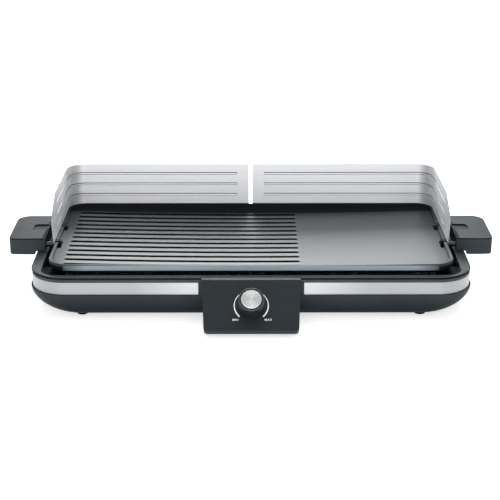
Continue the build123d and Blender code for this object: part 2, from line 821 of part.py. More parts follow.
# Temperature sensor: a bulb among the heating tubes on a thin capillary
capillary_start = dial_plane.from_local_coords(
    Vector(0, thermostat_length / 2, thermostat_top - thermostat_thickness / 2)
)
capillary_rise = (bulb_height - capillary_start.Z) * tan(radians(face_tilt))
with BuildPart() as sensor_bulb:
    with BuildLine(Plane.YZ) as capillary_path:
        FilletPolyline(
            (capillary_start.Y, capillary_start.Z),
            (capillary_start.Y + capillary_rise, bulb_height),
            (body_y + bulb_front, bulb_height),
            radius=capillary_bend,
        )
    with BuildSketch(Plane(origin=capillary_start, x_dir=(1, 0, 0), z_dir=face_plane.y_dir)):
        Circle(capillary_diameter / 2)
    sweep(path=capillary_path.line)
    with BuildSketch(Plane.XZ.offset(-(body_y + bulb_front))):
        with Locations((0, bulb_height)):
            Circle(bulb_diameter / 2)
    extrude(amount=-bulb_length)
finish(sensor_bulb.part, "sensor_bulb")
with BuildPart() as bulb_clip:
    with BuildSketch(Plane.XZ.offset(-(body_y + bulb_front + bulb_length / 2))):
        with Locations((0, bulb_height)):
            Circle(bulb_diameter / 2 + clip_sheet)
        with Locations((0, (bulb_height + clip_floor) / 2)):
            Rectangle(clip_sheet, bulb_height - clip_floor)
        with Locations((clip_foot / 2, clip_floor + clip_sheet / 2)):
            Rectangle(clip_foot, clip_sheet)
        with Locations((0, bulb_height)):
            Circle(bulb_diameter / 2, mode=Mode.SUBTRACT)
    extrude(amount=clip_width)
finish(bulb_clip.part, "bulb_clip")

# Terminal block on the floor and the cord inlet in the back wall
with BuildPart() as terminal_block:
    with BuildSketch(Plane.XY.offset(foot_height + floor_wall)):
        with Locations((0, body_y + block_y)):
            Rectangle(block_width, block_depth)
    extrude(amount=block_height)
    chamfer(terminal_block.faces().sort_by(Axis.Z)[-1].edges(), length=block_bevel)
    with BuildSketch(Plane.XY.offset(foot_height + floor_wall + block_height)):
        with Locations((0, body_y + block_y)):
            with GridLocations(block_pitch, 0, 3, 1):
                Circle(well_diameter / 2)
    extrude(amount=-well_depth, mode=Mode.SUBTRACT)
finish(terminal_block.part, "terminal_block")
with BuildPart() as cord_gland:
    with BuildSketch(Plane.XZ.offset(-back_y)):
        with Locations((0, gland_height)):
            Circle(gland_diameter / 2)
    extrude(amount=-gland_flange)
    with BuildSketch(Plane.XZ.offset(-(back_y + gland_reach))):
        with Locations((0, gland_height)):
            Circle(gland_neck_diameter / 2)
    extrude(amount=gland_reach + gland_pad)
    with BuildSketch(Plane.XZ.offset(-(back_y + gland_reach))):
        with Locations((0, gland_height)):
            Circle(gland_bore / 2)
    extrude(amount=gland_reach + gland_pad, mode=Mode.SUBTRACT)
finish(cord_gland.part, "cord_gland")

# Hollow of the plate: a drafted wall all round and a floor that dips towards the middle
with BuildPart() as pan_hollow:
    pan_outline = plate_outline(lip_top, lip_side, lip_front, lip_back, pan_corner)
    extrude(pan_outline, amount=-plate_thickness, taper=lip_slope)
    with BuildSketch(Plane.XZ.offset(-plate_back_y)):
        with BuildLine():
            surface_arc(pan_edge_height, pan_edge_height - pan_sag)
            Line((plate_half_width, pan_edge_height), (plate_half_width, shield_top))
            Line((plate_half_width, shield_top), (-plate_half_width, shield_top))
            Line((-plate_half_width, shield_top), (-plate_half_width, pan_edge_height))
        make_face()
    extrude(amount=plate_depth, mode=Mode.INTERSECT)

# Grooves with rounded ends that follow the dip at an even depth
with BuildPart() as groove_cutters:
    with BuildSketch(Plane.XY.offset(pan_edge_height)):
        with Locations(((groove_left + groove_right) / 2, groove_field_y)):
            with GridLocations(0, groove_pitch, 1, groove_count):
                SlotOverall(groove_right - groove_left, groove_width)
    extrude(amount=-(pan_sag + 2 * groove_depth), taper=groove_draft)
    with BuildSketch(Plane.XZ.offset(-plate_back_y)):
        with BuildLine():
            surface_arc(pan_edge_height - groove_depth, pan_edge_height - groove_depth - pan_sag)
            Line((plate_half_width, pan_edge_height - groove_depth), (plate_half_width, shield_top))
            Line((plate_half_width, shield_top), (-plate_half_width, shield_top))
            Line((-plate_half_width, shield_top), (-plate_half_width, pan_edge_height - groove_depth))
        make_face()
    extrude(amount=plate_depth, mode=Mode.INTERSECT)

# Cast grill plate
with BuildPart() as grill_plate:
    extrude(plate_outline(plate_underside, 0, 0, 0, plate_corner), amount=plate_thickness)
    chamfer(grill_plate.faces().sort_by(Axis.Z)[0].edges(), length=undercut)
    fillet(grill_plate.faces().sort_by(Axis.Z)[-1].edges(), radius=lip_edge_radius)
    add(pan_hollow.part, mode=Mode.SUBTRACT)
    add(groove_cutters.part, mode=Mode.SUBTRACT)
    with BuildSketch(Plane.XZ.offset(-(plate_front_y + lip_front + lip_edge_radius))):
        with BuildLine():
            ThreePointArc(
                (-front_dip_half, lip_top), (0, lip_top - front_lip_sag), (front_dip_half, lip_top)
            )
            Line((front_dip_half, lip_top), (-front_dip_half, lip_top))
        make_face()
    extrude(amount=lip_front + 2 * lip_edge_radius, mode=Mode.SUBTRACT)
    with BuildSketch(Plane.XY.offset(lip_top)):
        for side in (-1, 1):
            with Locations((side * tongue_x, body_y + front_slot_y)):
                RectangleRounded(slot_width, front_slot_length, slot_corner)
            with Locations((side * tongue_x, body_y + rear_slot_y)):
                RectangleRounded(slot_width, rear_slot_length, slot_corner)
    extrude(amount=-plate_thickness, mode=Mode.SUBTRACT)
    with BuildSketch(Plane.XY.offset(lip_top)):
        for side in (-1, 1):
            with Locations((side * back_tab_x, tab_y), (side * centre_tab_x, tab_y)):
                Rectangle(tab_width + 2 * seat_gap, shield_thickness + 2 * seat_gap)
    extrude(amount=-(tab_drop + clearance), mode=Mode.SUBTRACT)
    with BuildSketch(Plane.XY.offset(plate_underside)):
        with Locations((0, body_y)):
            with GridLocations(2 * post_x, 2 * post_y, 2, 2):
                Circle(post_diameter / 2)
    extrude(amount=-plate_foot_height)
    with BuildSketch(Plane.YZ.offset(-plate_half_width)):
        with Locations((body_y, bolt_height)):
            with GridLocations(bolt_spacing, 0, 2, 1):
                Circle(bolt_diameter / 2)
    extrude(amount=bolt_in_plate, mode=Mode.SUBTRACT)
    with BuildSketch(Plane.YZ.offset(plate_half_width)):
        with Locations((body_y, bolt_height)):
            with GridLocations(bolt_spacing, 0, 2, 1):
                Circle(bolt_diameter / 2)
    extrude(amount=-bolt_in_plate, mode=Mode.SUBTRACT)
finish(grill_plate.part, "grill_plate")

# Room for a thumb, cut into the top of the handle and fading out towards its front
with BuildPart() as thumb_recess:
    with BuildSketch(Plane.YZ.offset(handle_inner)):
        with BuildLine():
            Polyline(
                (body_y + recess_back - recess_length, handle_top),
                (body_y + recess_back, handle_top - recess_depth),
                (body_y + recess_back, handle_top),
                close=True,
            )
        make_face()
    extrude(amount=recess_width)
    with BuildSketch(Plane.XY.offset(handle_bottom)) as recess_outline:
        with Locations((handle_inner + recess_width / 2, body_y + recess_back - recess_length / 2)):
            Rectangle(recess_width, recess_length)
        fillet(
            recess_outline.vertices().group_by(Axis.Y)[-1].sort_by(Axis.X)[-1], radius=recess_corner
        )
    extrude(amount=2 * handle_height, mode=Mode.INTERSECT)

# Handle: a moulded shell that steps over the ring, with a thumb recess in its top
with BuildPart() as right_handle:
    with BuildSketch(Plane.XY.offset(handle_bottom)) as handle_outline:
        with BuildLine():
            ThreePointArc(
                (handle_inner, body_y - handle_length / 2 + handle_bow),
                ((handle_inner + handle_reach) / 2, body_y - handle_length / 2),
                (handle_reach, body_y - handle_length / 2 + handle_bow),
            )
            Polyline(
                (handle_reach, body_y - handle_length / 2 + handle_bow),
                (handle_reach, body_y + handle_length / 2),
                (handle_inner, body_y + handle_length / 2),
                (handle_inner, body_y - handle_length / 2 + handle_bow),
            )
        make_face()
        fillet(
            handle_outline.vertices().group_by(Axis.Y)[-1].sort_by(Axis.X)[-1], radius=handle_corner
        )
        fillet(
            handle_outline.vertices().group_by(Axis.Y)[0].sort_by(Axis.X)[-1],
            radius=handle_front_corner,
        )
    extrude(amount=handle_height)
    lower_edges = right_handle.faces().sort_by(Axis.Z)[0].edges().sort_by(Axis.X)
    fillet(lower_edges[1:], radius=handle_edge_radius)
    with BuildSketch(Plane.XZ.offset(-(body_y + handle_length))):
        with BuildLine():
            Polyline(
                (handle_inner, handle_top - handle_bevel / 2),
                (handle_inner + handle_bevel, handle_top),
                (handle_inner, handle_top),
                close=True,
            )
        make_face()
        with BuildLine():
            Polyline(
                (handle_inner, handle_bottom),
                (handle_foot, handle_bottom),
                (handle_step, handle_step_height),
                (handle_inner, handle_step_height),
                close=True,
            )
        make_face()
    extrude(amount=2 * handle_length, mode=Mode.SUBTRACT)
    add(thumb_recess.part, mode=Mode.SUBTRACT)
    with BuildSketch(Plane.XY.offset(handle_bottom)):
        with Locations(((handle_foot + handle_reach) / 2, body_y)):
            RectangleRounded(
                handle_reach - handle_foot - 2 * handle_wall,
                handle_length - 2 * handle_corner + 2 * handle_wall,
                handle_wall,
            )
    extrude(amount=handle_height - 2 * handle_wall, mode=Mode.SUBTRACT)
    with BuildSketch(Plane.YZ.offset(handle_inner)):
        with Locations((body_y, bolt_height)):
            with GridLocations(bolt_spacing, 0, 2, 1):
                Circle(bolt_diameter / 2)
    extrude(amount=bolt_in_handle, mode=Mode.SUBTRACT)
finish(right_handle.part, "handle_right")
with BuildPart() as left_handle:
    mirror(right_handle.part, about=Plane.YZ)
finish(left_handle.part, "handle_left")

# Spacers and bolts that carry each handle on the edge of the plate
for side, side_name in ((-1, "left"), (1, "right")):
    with BuildPart() as handle_spacers:
        with BuildSketch(Plane.YZ.offset(side * plate_half_width)):
            with Locations((body_y, bolt_height)):
                with GridLocations(bolt_spacing, 0, 2, 1):
                    Circle(spacer_diameter / 2)
                    Circle(bolt_diameter / 2, mode=Mode.SUBTRACT)
        extrude(amount=side * (handle_inner - plate_half_width))
    finish(handle_spacers.part, f"handle_spacers_{side_name}")
    with BuildPart() as handle_bolts:
        with BuildSketch(Plane.YZ.offset(side * (plate_half_width - bolt_in_plate))):
            with Locations((body_y, bolt_height)):
                with GridLocations(bolt_spacing, 0, 2, 1):
                    Circle(bolt_diameter / 2)
        extrude(amount=side * (handle_inner - plate_half_width + bolt_in_plate + bolt_in_handle))
    finish(handle_bolts.part, f"handle_bolts_{side_name}")


def wing_x(inset, place):
    """How far out the side of the windshield stands at a place along its length."""
    return plate_half_width - inset + shield_spread * (shield_rear_y - place) / shield_run


def sheet_outline(inset, start, end):
    """Half of the windshield in plan, filled inward from one face of the sheet."""
    rear_y = plate_back_y - inset
    with BuildSketch(Plane.XY.offset(lip_top)) as outline:
        with BuildLine():
            Polyline(
                (start, end),
                (start, rear_y),
                (wing_x(inset, rear_y), rear_y),
                (wing_x(inset, end), end),
                close=True,
            )
        make_face()
        fillet(
            outline.vertices().group_by(Axis.Y)[-1].sort_by(Axis.X)[-1], radius=plate_corner - inset
        )
    return outline.sketch


def bead_section(end, outward, lowest):
    """Section of a bead where it stands on the sheet, kept above the given level."""
    with BuildSketch(Plane(origin=end, x_dir=outward, z_dir=outward.cross(Vector(0, 0, 1)))) as section:
        with BuildLine():
            ThreePointArc((0, -bead_width / 2), (bead_depth, 0), (0, bead_width / 2))
            Polyline(
                (0, bead_width / 2),
                (-bead_root, bead_width / 2),
                (-bead_root, -bead_width / 2),
                (0, -bead_width / 2),
            )
        make_face()
        with Locations((0, lowest)):
            Rectangle(
                2 * bead_width, bead_width, align=(Align.CENTER, Align.MIN), mode=Mode.INTERSECT
            )
    return section.sketch


def bead(height, inset):
    """One bead along the back panel and round the corner, with a rounded end at each side."""
    rear_y = plate_back_y - inset
    end_y = body_y + bead_end
    near_end = Vector(bead_start, rear_y, height)
    far_end = Vector(wing_x(inset, end_y), end_y, height)
    with BuildPart() as shape:
        with BuildLine(Plane.XY.offset(height)) as path:
            FilletPolyline(
                (bead_start, rear_y),
                (wing_x(inset, rear_y), rear_y),
                (wing_x(inset, end_y), end_y),
                radius=plate_corner - inset,
            )
        sweep(bead_section(near_end, Vector(0, 1, 0), -bead_width / 2), path=path.line)
        for end, outward in ((near_end, Vector(0, 1, 0)), (far_end, wing_normal)):
            revolve(bead_section(end, outward, 0), axis=Axis(end, outward))
    return shape.part


# Windshield half: a bent sheet with three beads, a cut-back front edge, two side tongues and two tabs
sheet_inner = shield_inset + shield_thickness
with BuildPart() as right_shield:
    extrude(sheet_outline(shield_inset, shield_gap / 2, shield_nose_y), amount=shield_height)
    extrude(sheet_outline(sheet_inner, 0, plate_front_y), amount=shield_height, mode=Mode.SUBTRACT)
    with BuildSketch(Plane.YZ) as front_cut:
        with BuildLine():
            Polyline(
                (body_y + shield_front, lip_top),
                (shield_nose_y, shield_top - shield_notch_drop),
                (shield_nose_y + shield_notch_length, shield_top),
                (plate_front_y, shield_top),
                (plate_front_y, lip_top),
                close=True,
            )
        make_face()
        nose_corner = Vector(shield_nose_y, shield_top - shield_notch_drop)
        fillet(front_cut.vertices().sort_by_distance(nose_corner)[0], radius=shield_nose_radius)
    extrude(amount=plate_width, mode=Mode.SUBTRACT)
    for row in (-1, 0, 1):
        add(bead(bead_middle + row * bead_pitch, shield_inset))
    for row in (-1, 0, 1):
        add(bead(bead_middle + row * bead_pitch, sheet_inner), mode=Mode.SUBTRACT)
    for tongue_y in (front_tongue_y, rear_tongue_y):
        sheet_x = wing_x(shield_inset, body_y + tongue_y) - shield_thickness / 2
        with BuildSketch(Plane.XZ.offset(-(body_y + tongue_y + tongue_width / 2))):
            with BuildLine():
                Polyline(
                    (sheet_x, lip_top),
                    (sheet_x, lip_top + shield_thickness),
                    (tongue_x - shield_thickness / 2, lip_top + shield_thickness),
                    (tongue_x - shield_thickness / 2, lip_top - tongue_drop),
                    (tongue_x + shield_thickness / 2, lip_top - tongue_drop),
                    (tongue_x + shield_thickness / 2, lip_top),
                    close=True,
                )
            make_face()
        extrude(amount=tongue_width)
    with BuildSketch(Plane.XY.offset(lip_top)):
        with Locations((centre_tab_x, tab_y), (back_tab_x, tab_y)):
            Rectangle(tab_width, shield_thickness)
    extrude(amount=-tab_drop)
finish(right_shield.part, "windshield_right")
with BuildPart() as left_shield:
    mirror(right_shield.part, about=Plane.YZ)
finish(left_shield.part, "windshield_left")
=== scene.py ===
from math import cos, pi, radians, sin

import bpy
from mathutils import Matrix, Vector


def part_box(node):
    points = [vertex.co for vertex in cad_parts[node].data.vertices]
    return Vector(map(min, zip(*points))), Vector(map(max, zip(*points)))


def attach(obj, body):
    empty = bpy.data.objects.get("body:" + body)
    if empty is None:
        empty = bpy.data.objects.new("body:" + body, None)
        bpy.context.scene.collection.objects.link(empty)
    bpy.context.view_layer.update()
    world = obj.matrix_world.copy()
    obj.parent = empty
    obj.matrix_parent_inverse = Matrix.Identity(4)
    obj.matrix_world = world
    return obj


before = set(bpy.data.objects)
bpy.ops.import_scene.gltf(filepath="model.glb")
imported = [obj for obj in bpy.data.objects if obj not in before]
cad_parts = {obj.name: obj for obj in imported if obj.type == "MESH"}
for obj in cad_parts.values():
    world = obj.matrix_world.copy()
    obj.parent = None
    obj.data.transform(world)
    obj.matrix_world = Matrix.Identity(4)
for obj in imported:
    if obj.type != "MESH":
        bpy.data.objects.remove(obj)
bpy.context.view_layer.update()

# Looks of a table-top electric grill. Lengths are in metres, in the frame of the CAD model:
# X runs across, Y from the control box to the back, and Z up.

# Base, with the ring on its top and the well inside the ring
base_low, base_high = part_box("base_shell")
front_y = base_low[1]
body_y = (base_low[1] + base_high[1]) / 2
base_top = 0.060
# Painted shade on the bowl, darkest where it curves in under the base
bowl_shade_full_height = 0.005
bowl_shade_end_height = 0.045
# Painted shade in the step round the ring's rim and on the walls of the well
ring_step_low = base_top - 0.0026
ring_step_high = base_top - 0.0008
ring_step_edge = 0.0004
well_half_width = base_high[0] - 0.0149
well_half_depth = (base_high[1] - base_low[1]) / 2 - 0.0165
well_corner = 0.022
well_edge = 0.0006
# Painted light on the trim, fading from beside the control box towards the ends
trim_bright_reach = 0.07
trim_painted_dark_reach = 0.16

# Control face, which leans back, and the dial on it
face_tilt = radians(50)
face_normal = Vector((0, -cos(face_tilt), sin(face_tilt)))
face_up = Vector((0, sin(face_tilt), cos(face_tilt)))
face_top = Vector((0, front_y, base_top))
dial_distance = 0.0388
dial_centre = face_top - face_up * dial_distance
knob_front = 0.0183
# Painted highlight on the edge round the knob's front
knob_highlight_low = knob_front - 0.0007
knob_highlight_high = knob_front + 0.0005
knob_highlight_edge = 0.0003
knob_highlight_radius_start = 0.0160
knob_highlight_radius_full = 0.0163

# Handles, with a dark line under the top edge
handle_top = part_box("handle_left")[1][2]
handle_line_low = handle_top - 0.0021
handle_line_high = handle_top - 0.0004
handle_line_edge = 0.0004

# Cast plate, whose pan rises from its middle line to its sides
plate_low, plate_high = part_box("grill_plate")
plate_front_y = plate_low[1]
pan_middle_height = 0.0646
pan_side_rise = 0.0046
pan_curvature = pan_side_rise / plate_high[0] ** 2
groove_count = 13
groove_pitch = 0.0179
groove_half_width = 0.0037
groove_shoulder = 0.0028
shoulder_shade = 0.9
first_groove_y = plate_front_y + 0.0121
last_groove_y = first_groove_y + (groove_count - 1) * groove_pitch
groove_left = -0.258
groove_right = 0.068
# Painted shade in the grooves, on their shoulders and at the foot of the front lip
groove_shade_start_depth = 0.0001
groove_shade_full_depth = 0.0007
groove_shade_outside = 0.002
groove_shade_inside = 0.003
groove_shade_back_start = last_groove_y + 0.006
groove_shade_back_end = last_groove_y + 0.008
lip_foot_start = plate_front_y + 0.0003
lip_foot_end = first_groove_y - 0.002
lip_foot_edge = 0.0009

# Painted reflection: a light band on the front face of the plate
front_face_start = plate_front_y + 0.0002
front_face_end = plate_front_y + 0.0008
band_full_reach = 0.225
band_end_reach = 0.262
band_low = 0.0595
band_high = 0.0708
band_edge = 0.0015

# Painted sheen of the plate, strongest a little behind its middle
sheen_start_y = body_y - 0.06
sheen_peak_y = body_y + 0.02
sheen_end_y = body_y + 0.107
sheen_at_front = 0.36
sheen_at_peak = 0.6
shade_sheen_share = 0.15
grooved_sheen_share = 1.8

# Windshield, with painted shade on the slopes of its beads and where its tongues stand in the plate
outside_start = 0.01
outside_full = 0.05
bead_slight_slope = 0.15
bead_steep_slope = 0.5
tongue_dark_height = 0.0731
tongue_plain_height = 0.0737

# Colours, as shares of red, green and blue
cool_tint = (0.82, 1.0, 1.12)
coat_tint = (0.86, 1.0, 1.09)
white = (1, 1, 1, 1)

# Values that most of a noise lies between
noise_low = 0.3
noise_high = 0.7

# Places of the colour sockets of a mix node, whose names occur more than once
mix_below = 6
mix_above = 7
mix_result = 2

# Share of a full turn that draws a highlight out across the brushing
quarter_turn = 0.25


def set_range(made, low, high, start, end):
    """Set a range node to go from low to high between start and end."""
    for key, value in (("From Min", start), ("From Max", end), ("To Min", low), ("To Max", high)):
        made.inputs[key].default_value = value


class Surface:
    """A material under construction, with short calls for the nodes it needs."""

    def __init__(self, name, roughness, metallic=0.0, specular=0.5):
        self.material = bpy.data.materials.new(name)
        self.material.use_nodes = True
        self.tree = self.material.node_tree
        self.shader = self.tree.nodes["Principled BSDF"]
        self.to_shader(roughness, "Roughness")
        self.to_shader(metallic, "Metallic")
        self.to_shader(specular, "Specular IOR Level")

    def node(self, kind, **settings):
        """New node with its settings filled in."""
        made = self.tree.nodes.new(kind)
        for key, value in settings.items():
            setattr(made, key, value)
        return made

    def feed(self, term, socket):
        """Link an output to the socket, or set the socket to a plain value."""
        if isinstance(term, bpy.types.NodeSocket):
            self.tree.links.new(term, socket)
        else:
            socket.default_value = term

    def to_shader(self, term, socket_name):
        """Feed one of the shader's own sockets."""
        self.feed(term, self.shader.inputs[socket_name])

    def texture(self, kind):
        """Object coordinates or normals."""
        return self.node("ShaderNodeTexCoord").outputs[kind]

    def noise(self, scale, detail, stretch=(1, 1, 1)):
        """Noise over the object coordinates, multiplied along each axis."""
        mapping = self.node("ShaderNodeMapping")
        self.feed(self.texture("Object"), mapping.inputs["Vector"])
        self.feed(stretch, mapping.inputs["Scale"])
        made = self.node("ShaderNodeTexNoise")
        self.feed(mapping.outputs["Vector"], made.inputs["Vector"])
        self.feed(scale, made.inputs["Scale"])
        self.feed(detail, made.inputs["Detail"])
        return made.outputs["Fac"]

    def split(self, vector):
        """The three parts of a vector."""
        made = self.node("ShaderNodeSeparateXYZ")
        self.feed(vector, made.inputs["Vector"])
        return made.outputs["X"], made.outputs["Y"], made.outputs["Z"]

    def places(self):
        """Object coordinates, one by one."""
        return self.split(self.texture("Object"))

    def height(self):
        """Height over the floor, while the piece is at rest."""
        return self.places()[2]

    def upward(self):
        """Upward part of the direction a face looks in."""
        return self.split(self.texture("Normal"))[2]

    def outward(self):
        """How far a face looks away from the upright axis through the base."""
        offset = self.vector_math("SUBTRACT", self.texture("Object"), (0, body_y, 0))
        return self.vector_math("DOT_PRODUCT", self.texture("Normal"), offset)

    def from_dial(self):
        """Offset from the dial's centre on the control face."""
        return self.vector_math("SUBTRACT", self.texture("Object"), dial_centre)

    def round_dial(self):
        """Direction round the dial's axis, as long as the distance from the axis."""
        return self.vector_math("CROSS_PRODUCT", self.from_dial(), face_normal)

    def calculate(self, kind, operation, terms):
        """Node of one operation, with its sockets fed in turn."""
        made = self.node(kind, operation=operation)
        for term, socket in zip(terms, made.inputs):
            self.feed(term, socket)
        return made

    def math(self, operation, *terms):
        """Number worked out from one or two numbers."""
        return self.calculate("ShaderNodeMath", operation, terms).outputs["Value"]

    def vector_math(self, operation, *terms):
        """Vector worked out from vectors, or a number where the operation gives one."""
        result = "Value" if operation in ("DOT_PRODUCT", "LENGTH") else "Vector"
        return self.calculate("ShaderNodeVectorMath", operation, terms).outputs[result]

    def product(self, first, *others):
        """Product of several numbers."""
        for other in others:
            first = self.math("MULTIPLY", first, other)
        return first

    def span(self, factor, low, high, start=noise_low, end=noise_high):
        """Number that goes from low to high as the factor goes from start to end."""
        made = self.node("ShaderNodeMapRange")
        set_range(made, low, high, start, end)
        self.feed(factor, made.inputs["Value"])
        return made.outputs["Result"]

    def between(self, place, start, end, soft):
        """One between two places, falling to nothing over a soft edge inside each."""
        rising = self.span(place, 0, 1, start, start + soft)
        falling = self.span(place, 1, 0, end - soft, end)
        return self.product(rising, falling)

    def ramp(self, factor, dark, light, start=noise_low, end=noise_high):
        """Colour that goes from dark to light as the factor goes from start to end."""
        made = self.node("ShaderNodeValToRGB")
        for element, place, colour in zip(made.color_ramp.elements, (start, end), (dark, light)):
            element.position = place
            element.color = (*colour, 1)
        self.feed(factor, made.inputs["Fac"])
        return made.outputs["Color"]

    def mix(self, factor, below, above, **settings):
        """Colour that goes over from below to above as the factor goes from nothing to one."""
        made = self.node("ShaderNodeMix", data_type="RGBA", **settings)
        self.feed(factor, made.inputs["Factor"])
        self.feed(below, made.inputs[mix_below])
        self.feed(above, made.inputs[mix_above])
        return made.outputs[mix_result]

    def colour(self, factor, dark, light):
        """Base colour that follows a noise."""
        self.to_shader(self.ramp(factor, dark, light), "Base Color")

    def plain_colour(self):
        """Output that feeds the base colour so far."""
        return self.shader.inputs["Base Color"].links[0].from_socket

    def roughness(self, factor, low, high):
        """Roughness that follows a noise."""
        self.to_shader(self.span(factor, low, high), "Roughness")

    def bump(self, factor, depth, strength):
        """Relief that follows a noise."""
        made = self.node("ShaderNodeBump")
        self.feed(strength, made.inputs["Strength"])
        self.feed(depth, made.inputs["Distance"])
        self.feed(factor, made.inputs["Height"])
        self.to_shader(made.outputs["Normal"], "Normal")


def grey(value, tint=(1, 1, 1)):
    """Colour of one brightness, multiplied by a tint."""
    return tuple(value * part for part in tint)


def darkened(surface, factor, shade):
    """Material of a surface whose colour is multiplied by the shade where the factor is nothing."""
    shading = surface.ramp(factor, grey(shade), grey(1), start=0, end=1)
    colour = surface.mix(1, surface.plain_colour(), shading, blend_type="MULTIPLY")
    surface.to_shader(colour, "Base Color")
    return surface.material


def moulded_plastic(name, value, roughness, specular):
    """Surface of dark moulded plastic with a fine eroded grain."""
    surface = Surface(name, roughness, specular=specular)
    surface.to_shader((*cool_tint, 1), "Specular Tint")
    cloud = surface.noise(scale=35, detail=4)
    surface.colour(cloud, grey(value * 0.9, cool_tint), grey(value * 1.1, cool_tint))
    grain = surface.noise(scale=2600, detail=2)
    surface.roughness(grain, roughness - 0.05, roughness + 0.06)
    surface.bump(grain, depth=0.00002, strength=0.6)
    return surface


def bowl_moulding(name):
    """Bowl plastic with painted shade, nearly black where it curves in under the base."""
    surface = moulded_plastic(name, value=0.04, roughness=0.5, specular=0.1)
    # Painted shade that grows towards the bottom of the bowl
    unshaded_by_height = surface.span(surface.height(), 0, 1, bowl_shade_full_height, bowl_shade_end_height)
    return darkened(surface, unshaded_by_height, shade=0.02)


def ring_moulding(name):
    """Ring plastic, with painted shade in the step round its rim and on the walls of the well, where
    its gloss is lowered too.
    """
    plain_gloss = 0.3
    shaded_gloss = 0.02
    surface = moulded_plastic(name, value=0.036, roughness=0.5, specular=plain_gloss)
    across, along, up = surface.places()
    in_step = surface.between(up, ring_step_low, ring_step_high, ring_step_edge)
    squares = []
    for place, middle, half_size in ((across, 0, well_half_width), (along, body_y, well_half_depth)):
        offset = surface.math("ABSOLUTE", surface.math("SUBTRACT", place, middle))
        past = surface.math("SUBTRACT", offset, half_size - well_corner)
        past = surface.math("MAXIMUM", past, 0)
        squares.append(surface.product(past, past))
    from_middle = surface.math("SQRT", surface.math("ADD", *squares))
    in_well = surface.span(from_middle, 1, 0, well_corner - well_edge, well_corner)
    # Painted shade in the step and on the well's walls, with less gloss there
    shaded = surface.math("MAXIMUM", in_step, in_well)
    gloss = surface.span(shaded, plain_gloss, shaded_gloss, start=0, end=1)
    surface.to_shader(gloss, "Specular IOR Level")
    return darkened(surface, surface.math("SUBTRACT", 1, shaded), shade=0.06)


def handle_moulding(name):
    """Handle plastic with a dark line under its top edge and in its thumb recess."""
    surface = moulded_plastic(name, value=0.038, roughness=0.4, specular=0.08)
    line = surface.between(surface.height(), handle_line_low, handle_line_high, handle_line_edge)
    return darkened(surface, surface.math("SUBTRACT", 1, line), shade=0.03)


def knob_moulding(name):
    """Knob plastic, with a painted highlight on the edge round its front."""
    surface = moulded_plastic(name, value=0.015, roughness=0.35, specular=0.3)
    height = surface.vector_math("DOT_PRODUCT", surface.from_dial(), face_normal)
    radius = surface.vector_math("LENGTH", surface.round_dial())
    # Painted highlight on the edge round the knob's front
    highlighted = surface.product(
        surface.between(height, knob_highlight_low, knob_highlight_high, knob_highlight_edge),
        surface.span(radius, 0, 1, knob_highlight_radius_start, knob_highlight_radius_full),
    )
    highlight_colour = (*grey(0.09, cool_tint), 1)
    surface.to_shader(surface.mix(highlighted, surface.plain_colour(), highlight_colour), "Base Color")
    return surface.material


def brushed_sheet(name, value, tint, roughness, stretch):
    """Surface of sheet metal brushed along its length, with highlights drawn out across."""
    surface = Surface(name, roughness, metallic=1.0)
    surface.to_shader(stretch, "Anisotropic")
    surface.to_shader(quarter_turn, "Anisotropic Rotation")
    lines = surface.noise(scale=1.0, detail=4, stretch=(6, 6, 1400))
    surface.colour(lines, grey(value * 0.93, tint), grey(value * 1.05, tint))
    surface.roughness(lines, roughness - 0.05, roughness + 0.07)
    surface.bump(lines, depth=0.000004, strength=0.5)
    return surface


def shield_sheet(name):
    """Windshield steel, darker on its outer faces, with painted shade on the slopes of its beads and
    round its tongues.
    """
    surface = brushed_sheet(name, value=0.95, tint=(0.99, 1.0, 1.02), roughness=0.52, stretch=0.3)
    inside = surface.span(surface.outward(), 1, 0, outside_start, outside_full)
    darkened(surface, inside, shade=0.42)
    # Painted shade on both slopes of each bead
    slope = surface.upward()
    not_under = surface.span(slope, 0, 1, -bead_steep_slope, -bead_slight_slope)
    darkened(surface, not_under, shade=0.12)
    not_over = surface.span(slope, 1, 0, bead_slight_slope, bead_steep_slope)
    darkened(surface, not_over, shade=0.45)
    # Painted shade where the tongues stand in the plate
    above_plate = surface.span(surface.height(), 0, 1, tongue_dark_height, tongue_plain_height)
    return darkened(surface, above_plate, shade=0.05)


def trim_sheet(name):
    """Trim steel with painted light: brightest beside the control box and painted darker towards the
    ends of the base.
    """
    surface = brushed_sheet(name, value=0.51, tint=(0.97, 1.0, 1.04), roughness=0.35, stretch=0.6)
    reach = surface.math("ABSOLUTE", surface.places()[0])
    # Painted light near the box, painted shade further out
    near_box = surface.span(reach, 1, 0, trim_bright_reach, trim_painted_dark_reach)
    return darkened(surface, near_box, shade=0.66)


def plain_metal(name, value, roughness, tint=(1, 1, 1)):
    """Plated metal with faint clouding."""
    surface = Surface(name, roughness, metallic=1.0)
    cloud = surface.noise(scale=90, detail=4)
    surface.colour(cloud, grey(value * 0.9, tint), grey(value * 1.05, tint))
    surface.roughness(cloud, roughness - 0.05, roughness + 0.08)
    return surface.material


def heated_tube(name):
    """Steel tube darkened by heat, in patches of warm brown and grey."""
    surface = Surface(name, 0.45, metallic=1.0)
    surface.colour(surface.noise(scale=14, detail=5), (0.03, 0.027, 0.025), (0.08, 0.07, 0.065))
    surface.roughness(surface.noise(scale=300, detail=3), 0.4, 0.6)
    return surface.material


